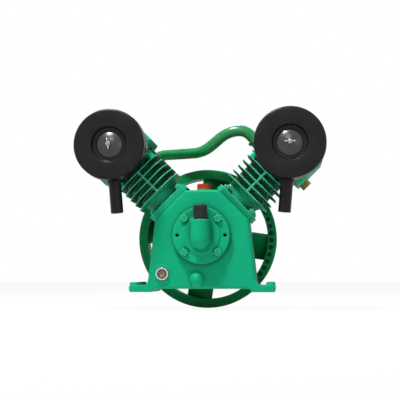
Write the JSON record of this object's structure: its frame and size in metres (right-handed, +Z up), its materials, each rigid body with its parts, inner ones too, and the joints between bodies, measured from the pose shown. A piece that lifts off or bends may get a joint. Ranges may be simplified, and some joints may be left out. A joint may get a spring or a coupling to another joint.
{
  "type": "air compressor pump head",
  "caption": "Belt-driven air compressor pump with finned cylinders in a V, round air filters and a fan flywheel behind the crankcase.",
  "frame": {"origin": "centre of the four foot holes, on the underside of the feet", "axes": "+X to the right seen from the bearing cover, +Y towards the flywheel along the crankshaft, +Z up"},
  "size_m": [0.6152, 0.3628, 0.4926],
  "materials": {
    "green_casting": "satin paint over cast iron",
    "flywheel_paint": "satin paint over cast iron",
    "pipe_paint": "gloss paint over steel tube",
    "gasket": "painted over at its edge",
    "black_sheet": "semi-gloss black powder coat",
    "black_dome": "gloss",
    "black_plug": "matte",
    "red_cap": "satin",
    "chrome": "bright",
    "steel": "machined",
    "aluminium": "machined",
    "rubber": "matte",
    "glass": "clear",
    "dial": "printed",
    "paper": "pleated paper",
    "brass": "dull"
  },
  "bodies": {
    "pump": {"crankcase": "green_casting", "front_cover": "green_casting", "cover_gasket": "gasket", "cover_bolts": "green_casting", "breather_cap": "black_plug", "sight_bezel": "chrome", "sight_window": "glass", "sight_dial": "dial", "drain_plug": "green_casting", "front_bearing_outer": "steel", "rear_bearing_outer": "steel", "shaft_seal": "rubber", "filter_studs": "steel", "valve_reeds": "steel", "discharge_pipe": "pipe_paint", "pipe_nuts": "pipe_paint", "outlet_fitting": "brass", "left_cylinder": "green_casting", "left_base_gasket": "gasket", "left_cylinder_studs": "green_casting", "left_piston": "aluminium", "left_piston_rings": "steel", "left_piston_pin": "steel", "left_rod": "aluminium", "left_valve_plate": "green_casting", "left_head_gaskets": "gasket", "left_head": "green_casting", "left_head_bolts": "green_casting", "left_filter_body": "black_sheet", "left_filter_cover": "black_sheet", "left_filter_element": "paper", "left_filter_dome": "black_dome", "right_cylinder": "green_casting", "right_base_gasket": "gasket", "right_cylinder_studs": "green_casting", "right_piston": "aluminium", "right_piston_rings": "steel", "right_piston_pin": "steel", "right_rod": "aluminium", "right_valve_plate": "green_casting", "right_head_gaskets": "gasket", "right_head": "green_casting", "right_head_bolts": "green_casting", "right_filter_body": "black_sheet", "right_filter_cover": "black_sheet", "right_filter_element": "paper", "right_filter_dome": "black_dome"},
    "crank": {"crankshaft": "steel", "big_ends": "aluminium", "shaft_key": "steel", "flywheel": "flywheel_paint", "flywheel_washer": "steel", "flywheel_nut": "steel", "front_bearing_inner": "steel", "rear_bearing_inner": "steel"},
    "front_cage": {"front_bearing_balls": "steel"},
    "rear_cage": {"rear_bearing_balls": "steel"},
    "filler": {"filler_cap": "red_cap"},
    "left_wing": {"left_wing_nut": "chrome"},
    "right_wing": {"right_wing_nut": "chrome"}
  },
  "joints": [
    {"name": "crank_spin", "type": "hinge", "parent": "pump", "child": "crank", "pos_m": [0, 0, 0.14], "axis": [0, 1, 0], "continuous": true},
    {"name": "front_cage_spin", "type": "hinge", "parent": "pump", "child": "front_cage", "pos_m": [0, 0, 0.14], "axis": [0, 1, 0], "continuous": true},
    {"name": "rear_cage_spin", "type": "hinge", "parent": "pump", "child": "rear_cage", "pos_m": [0, 0, 0.14], "axis": [0, 1, 0], "continuous": true},
    {"name": "filler_lift", "type": "slide", "parent": "pump", "child": "filler", "axis": [0, 0, 1], "range_m": [0, 0.03]},
    {"name": "left_wing_turn", "type": "hinge", "parent": "pump", "child": "left_wing", "pos_m": [-0.21956, -0.16, 0.35956], "axis": [0, 1, 0], "continuous": true},
    {"name": "right_wing_turn", "type": "hinge", "parent": "pump", "child": "right_wing", "pos_m": [0.21956, -0.16, 0.35956], "axis": [0, 1, 0], "continuous": true}
  ],
  "couplings": [
    {"joint": "front_cage_spin", "follows": "crank_spin", "ratio": 0.3826},
    {"joint": "rear_cage_spin", "follows": "crank_spin", "ratio": 0.4008}
  ]
}
